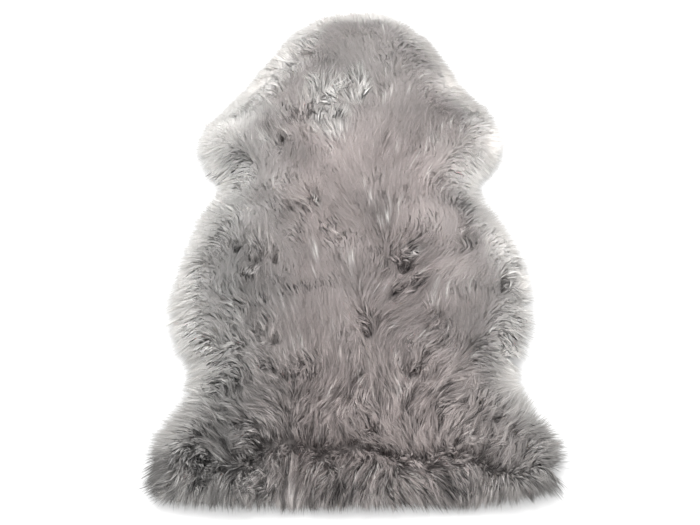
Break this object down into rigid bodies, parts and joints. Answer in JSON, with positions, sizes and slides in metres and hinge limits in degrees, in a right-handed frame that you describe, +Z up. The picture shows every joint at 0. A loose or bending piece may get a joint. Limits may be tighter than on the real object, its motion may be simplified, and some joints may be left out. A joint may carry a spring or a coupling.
{
  "type": "sheepskin rug",
  "caption": "Natural-shape sheepskin rug with long grey wool, lying flat with the wool up.",
  "frame": {"origin": "on the floor, in the middle of the outline's bounding box", "axes": "+Y from the tail end to the neck end, +X to the right, +Z up out of the wool"},
  "size_m": [0.6498, 1.005, 0.0597],
  "materials": {
    "wool": "long brushed grey wool, silky, paler at the tips and darker in the partings"
  },
  "bodies": {
    "root": {"sheepskin": "wool"}
  },
  "joints": []
}
